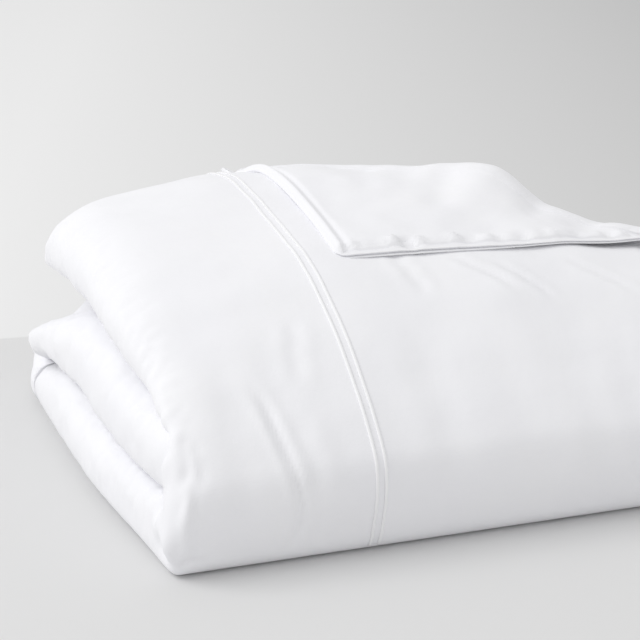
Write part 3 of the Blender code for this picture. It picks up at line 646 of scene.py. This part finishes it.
# the lower leaf: the same surface a cloth's width further in, back to the start
inner_drop = np.concatenate([np.full(wrap_count, 0.0022), 0.0024 + 0.0031 * leaf_share])[None, :]
inner_drop = inner_drop * (1 - 0.35 * side * smooth((upper[..., 0] - 0.02) / 0.10))
upper_normal = np.cross(np.gradient(upper, axis=1), np.gradient(upper, axis=0))
upper_normal /= np.maximum(np.linalg.norm(upper_normal, axis=-1, keepdims=True), 1e-12)
if upper_normal[60, -10, 2] < 0:
    upper_normal = -upper_normal
lower = upper - upper_normal * inner_drop[..., None]
# rolled side seam with a soft groove beside it; the hem's topstitching, 8 mm in, draws the
# cloth into small puckers across it
roll = (1 - side) * (0.0040 * np.exp(-((edge_distance - 0.0065) / 0.0060) ** 2)
                     - 0.0020 * np.exp(-((edge_distance - 0.0185) / 0.0050) ** 2))
topstitch = -0.0020 * side * np.exp(-((edge_distance - 0.0078) / 0.0015) ** 2)
nearby = np.exp(-((edge_distance - 0.017) / 0.010) ** 2) * side
strong = 0.7 + 1.3 * np.exp(-((upper[..., 0] + 0.045) / 0.080) ** 2)
across_hem = np.stack([upper[..., 0], 0.2 * upper[..., 1], 0 * upper[..., 2]], axis=-1)
puckers = 0.0026 * nearby * strong * waves(across_hem, 0.016, 21, stretch=(1.0, 0.35, 0.01))
inland = smooth(edge_distance / 0.04)
rumple = 0.0010 * inland * waves(upper, 0.11, 23) + 0.0003 * inland * waves(upper, 0.04, 24)
for line, width, depth, lip in (
        ([(0.100, 0.050, 0.280), (0.055, 0.000, 0.275), (0.020, -0.060, 0.265)],
         0.016, 0.0034, 0.0010),
        ([(0.165, -0.010, 0.270), (0.150, -0.050, 0.262), (0.120, -0.090, 0.252)],
         0.013, 0.0026, 0.0010),
        ([(0.010, 0.120, 0.275), (-0.020, 0.060, 0.275), (-0.035, 0.000, 0.272)],
         0.014, 0.0014, 0.0005),
        ([(0.225, -0.060, 0.245), (0.200, -0.085, 0.243), (0.160, -0.105, 0.243)],
         0.012, 0.0020, 0.0008)):
    rumple += inland * crease(upper, line, width, depth, lip)
upper[..., 2] += roll + topstitch + puckers + rumple
lower[..., 2] += 0.8 * rumple
# the rim between the leaves: out over the upper lip, in between them, out over the lower
rim_out = np.array([0.0010, 0.0006, -0.0030, -0.0030, 0.0016, 0.0030, 0.0020])
rim_down = np.array([0.16, 0.34, 0.46, 0.54, 0.64, 0.80, 0.95])
outward = np.where(side[:, :, None] > 0.5, [[[0.0, -1.0, 0.0]]], [[[-1.0, 0.0, 0.0]]])
lip_here = (0.35 + 0.65 * side) * (1 + 0.9 * np.exp(-((upper[:, -1:, 0] + 0.02) / 0.07) ** 2))
narrow = clamp(reach / 0.02)[:, None, None]              # no lip at the corner's two ends
rim = (upper[:, -1:] * (1 - rim_down[None, :, None]) + lower[:, -1:] * rim_down[None, :, None]
       + outward * narrow * (
           rim_out[None, :, None] * lip_here[..., None] * side[..., None]
           + 0.0026 * np.sin(np.pi * rim_down)[None, :, None] * (1 - side[..., None])))
corner = np.concatenate([upper, rim, lower[:, ::-1]], axis=1)
turned_corner = add_grid("turned_back_corner", corner[::-1])
turned_corner.data.materials.append(percale_cotton())
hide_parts("flap_face_leaf", "flap_reverse_leaf", "flap_fold_edge",
            "flap_hem_face", "flap_hem_reverse", "flap_side_seam")
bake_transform(turned_corner)

# ---- Care label ----------------------------------------------------------------------
# A blank woven tape sewn into the side seam at the back of the top ply; it hangs free.
label_low, label_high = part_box("care_label")
LABEL_WIDTH, LABEL_DROP, LABEL_THICK = label_high.x - label_low.x, 0.026, 0.0008


def woven_tape():
    """Woven polyester satin tape, blank: a touch greyer than the cotton, with fine ribs and a
    soft gloss."""
    made = bpy.data.materials.get("woven polyester tape")
    if made:
        return made
    made = bpy.data.materials.new("woven polyester tape")
    made.use_nodes = True
    shader = made.node_tree.nodes["Principled BSDF"]
    shader.inputs["Roughness"].default_value = 0.5
    place = add_node(made, "ShaderNodeTexCoord").outputs["Object"]
    ribs = add_node(made, "ShaderNodeTexWave", {"wave_type": "BANDS", "bands_direction": "X",
                    "Scale": 500.0, "Distortion": 0.4}, {"Vector": place})
    tint = add_node(made, "ShaderNodeMix", {"data_type": "RGBA", 6: colour("#E4E4E2"),
                    7: colour("#EEEEEC")}, {0: ribs.outputs["Fac"]})
    bump = add_node(made, "ShaderNodeBump", {"Strength": 0.4, "Distance": 0.0002},
                    {"Height": ribs.outputs["Fac"]})
    made.node_tree.links.new(tint.outputs[2], shader.inputs["Base Color"])
    made.node_tree.links.new(bump.outputs[0], shader.inputs["Normal"])
    return made


drop = np.linspace(0, 1, 25)[:, None]
width_share = np.concatenate([np.linspace(-0.5, 0.5, 15), np.linspace(0.5, -0.5, 15)])[None, :]
front_side = np.concatenate([np.full(15, 1.0), np.full(15, -1.0)])[None, :]
centre_x = (label_low.x + label_high.x) / 2
label_points = np.stack([
    centre_x + (LABEL_WIDTH - 0.001) * width_share + 0 * drop,
    label_low.y - 0.0008 + 0.0030 * drop**1.5 + LABEL_THICK / 2 * front_side
    + 0.0008 * drop * np.sin(width_share * 5),
    label_high.z - 0.008 - LABEL_DROP * drop + 0 * width_share], axis=-1)
label = add_grid("care_label_tape", label_points)
label.data.materials.append(woven_tape())
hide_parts("care_label")
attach(label, "care_label")

# ---- Corner tie and loop -------------------------------------------------------------
# Inside the cover a cotton tape loop on the insert's corner and the cover's tie pass through
# each other, so that the insert can't slip down.
for name in ("insert_corner_loop", "cover_corner_tie"):
    low, high = (np.array(corner_at) for corner_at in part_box(name))
    centre, half = (low + high) / 2, (high - low) / 2
    flat_axis, tall_axis = (1, 2) if name == "insert_corner_loop" else (2, 1)
    tape = float(half[flat_axis]) * 0.98                 # half the width of the tape
    t = np.linspace(0, 2 * np.pi, 48, endpoint=False)[:, None]
    u = np.linspace(0, 2 * np.pi, 12, endpoint=False)[None, :]
    ring = np.zeros((48, 12, 3))
    ring[..., 0] = (half[0] - tape + tape * np.cos(u)) * np.cos(t)
    ring[..., tall_axis] = (half[tall_axis] - tape + tape * np.cos(u)) * np.sin(t)
    ring[..., flat_axis] = tape * np.sin(u) + 0 * t
    loop = add_grid(name + "_tape", centre + ring, loop=True)
    loop.data.materials.append(woven_tape())
    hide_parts(name)
    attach(loop, "base")

# ---- Buttons and their thread --------------------------------------------------------
# Six two-part fastenings along the foot hems: pearly resin buttons, sewn on with cotton.


def button_resin():
    """Polished polyester resin: white with faint pearly clouding, glossy, and a little light
    passes into it."""
    made = bpy.data.materials.new("polyester button resin")
    made.use_nodes = True
    shader = made.node_tree.nodes["Principled BSDF"]
    shader.inputs["Roughness"].default_value = 0.22
    shader.inputs["Coat Weight"].default_value = 0.35
    shader.inputs["Subsurface Weight"].default_value = 0.15
    shader.inputs["Subsurface Scale"].default_value = 0.002
    place = add_node(made, "ShaderNodeTexCoord").outputs["Object"]
    clouds = add_node(made, "ShaderNodeTexNoise", {"Scale": 220.0, "Detail": 2.0,
                      "Distortion": 1.2}, {"Vector": place})
    tint = add_node(made, "ShaderNodeMix", {"data_type": "RGBA", 6: colour("#E9E8E4"),
                    7: colour("#F6F5F2")}, {0: clouds.outputs["Fac"]})
    bump = add_node(made, "ShaderNodeBump", {"Strength": 0.08, "Distance": 0.0002},
                    {"Height": clouds.outputs["Fac"]})
    made.node_tree.links.new(tint.outputs[2], shader.inputs["Base Color"])
    made.node_tree.links.new(bump.outputs[0], shader.inputs["Normal"])
    return made


def sewing_thread():
    """Spun cotton sewing thread: matt white, with the twist showing as fine slanting ribs."""
    made = bpy.data.materials.new("spun cotton thread")
    made.use_nodes = True
    shader = made.node_tree.nodes["Principled BSDF"]
    shader.inputs["Roughness"].default_value = 0.8
    place = add_node(made, "ShaderNodeTexCoord").outputs["Object"]
    twist = add_node(made, "ShaderNodeTexWave", {"wave_type": "BANDS",
                     "bands_direction": "DIAGONAL", "Scale": 900.0, "Distortion": 0.5},
                     {"Vector": place})
    tint = add_node(made, "ShaderNodeMix", {"data_type": "RGBA", 6: colour("#ECECEC"),
                    7: colour("#F8F8F8")}, {0: twist.outputs["Fac"]})
    bump = add_node(made, "ShaderNodeBump", {"Strength": 0.5, "Distance": 0.0002},
                    {"Height": twist.outputs["Fac"]})
    made.node_tree.links.new(tint.outputs[2], shader.inputs["Base Color"])
    made.node_tree.links.new(bump.outputs[0], shader.inputs["Normal"])
    return made


resin, thread = button_resin(), sewing_thread()
for name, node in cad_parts.items():
    if name.startswith(("button_", "thread_button_")):
        node.material_slots[0].material = resin if name.startswith("button_") else thread

# ---- Studio: floor, light and camera -------------------------------------------------
# A pale matt floor, lit from the upper left by a large soft light, with a pale even sky that
# fills the shadows.  Beyond a line behind the object the floor is painted in the tones of a wall,
# with painted light at its left that fades into painted shade at its right.
FLOOR_REACH = 6
plane = bpy.data.meshes.new("studio_floor")
plane.from_pydata([(x * FLOOR_REACH, y * FLOOR_REACH, 0)
                   for x, y in ((-1, -1), (1, -1), (1, 1), (-1, 1))], [], [(0, 1, 2, 3)])
floor = bpy.data.objects.new("studio_floor", plane)
bpy.context.scene.collection.objects.link(floor)
painted = bpy.data.materials.new("matt painted floor")
painted.use_nodes = True
painted_shader = painted.node_tree.nodes["Principled BSDF"]
painted_shader.inputs["Roughness"].default_value = 0.9
painted_shader.inputs["Specular IOR Level"].default_value = 0.2
ground = add_node(painted, "ShaderNodeTexCoord").outputs["Object"]
across = add_node(painted, "ShaderNodeVectorMath", {"operation": "DOT_PRODUCT",
                  1: (0.12, 1.0, 0.0)}, {0: ground})
# beyond this line the floor is painted in a wall's tones: painted light at the left that darkens
# into painted shade to the right, as if lit from the left
beyond = add_node(painted, "ShaderNodeMapRange", {"From Min": 0.408, "From Max": 0.414},
                  {"Value": across.outputs["Value"]})
# painted shade: how far along the painted wall, from its lit left to its shaded right
sideways = add_node(painted, "ShaderNodeVectorMath", {"operation": "DOT_PRODUCT",
                    1: (1.0, -0.35, 0.0)}, {0: ground})
painted_shade_ramp = add_node(painted, "ShaderNodeMapRange", {"From Min": -0.6, "From Max": 0.7},
                   {"Value": sideways.outputs["Value"]})
# the painted wall's colour: painted light at the left, painted shade at the right
wall_with_painted_shade = add_node(painted, "ShaderNodeMix", {"data_type": "RGBA", 6: colour("#F0F0F0"),
                   7: colour("#CECECE")}, {0: painted_shade_ramp.outputs[0]})
sweep = add_node(painted, "ShaderNodeMix", {"data_type": "RGBA", 6: colour("#E1E1E1")},
                 {0: beyond.outputs[0], 7: wall_with_painted_shade.outputs[2]})
painted.node_tree.links.new(sweep.outputs[2], painted_shader.inputs["Base Color"])
plane.materials.append(painted)

world = bpy.data.worlds.new("studio")
bpy.context.scene.world = world
world.use_nodes = True
world.node_tree.nodes["Background"].inputs["Color"].default_value = colour("#F5F5F5")
world.node_tree.nodes["Background"].inputs["Strength"].default_value = 0.80


def add_light(name, place, aim, size, power):
    """Square soft light at a place, turned so that it shines on the aim."""
    light = bpy.data.lights.new(name, "AREA")
    light.shape, light.size, light.energy = "SQUARE", size, power
    made = bpy.data.objects.new(name, light)
    bpy.context.scene.collection.objects.link(made)
    made.location = place
    made.rotation_euler = (Vector(aim) - Vector(place)).to_track_quat("-Z", "Y").to_euler()
    return made


add_light("soft_key", (-5.2, 0.8, 5.2), (0, 0, 0.1), 4.4, 192)

camera = bpy.data.cameras.new("camera")
camera.sensor_width, camera.lens = 36.0, 127.6
camera_object = bpy.data.objects.new("camera", camera)
bpy.context.scene.collection.objects.link(camera_object)
camera_object.location = (-0.914, -2.260, 0.926)
LOOKS_DOWN = 18.2                                 # degrees below level
LOOKS_ALONG = (0.342, 0.940)                      # X and Y of the way it looks
camera_object.rotation_euler = (np.radians(90 - LOOKS_DOWN), 0, -np.arctan2(*LOOKS_ALONG))
bpy.context.scene.camera = camera_object
bpy.context.scene.view_settings.view_transform = "Standard"
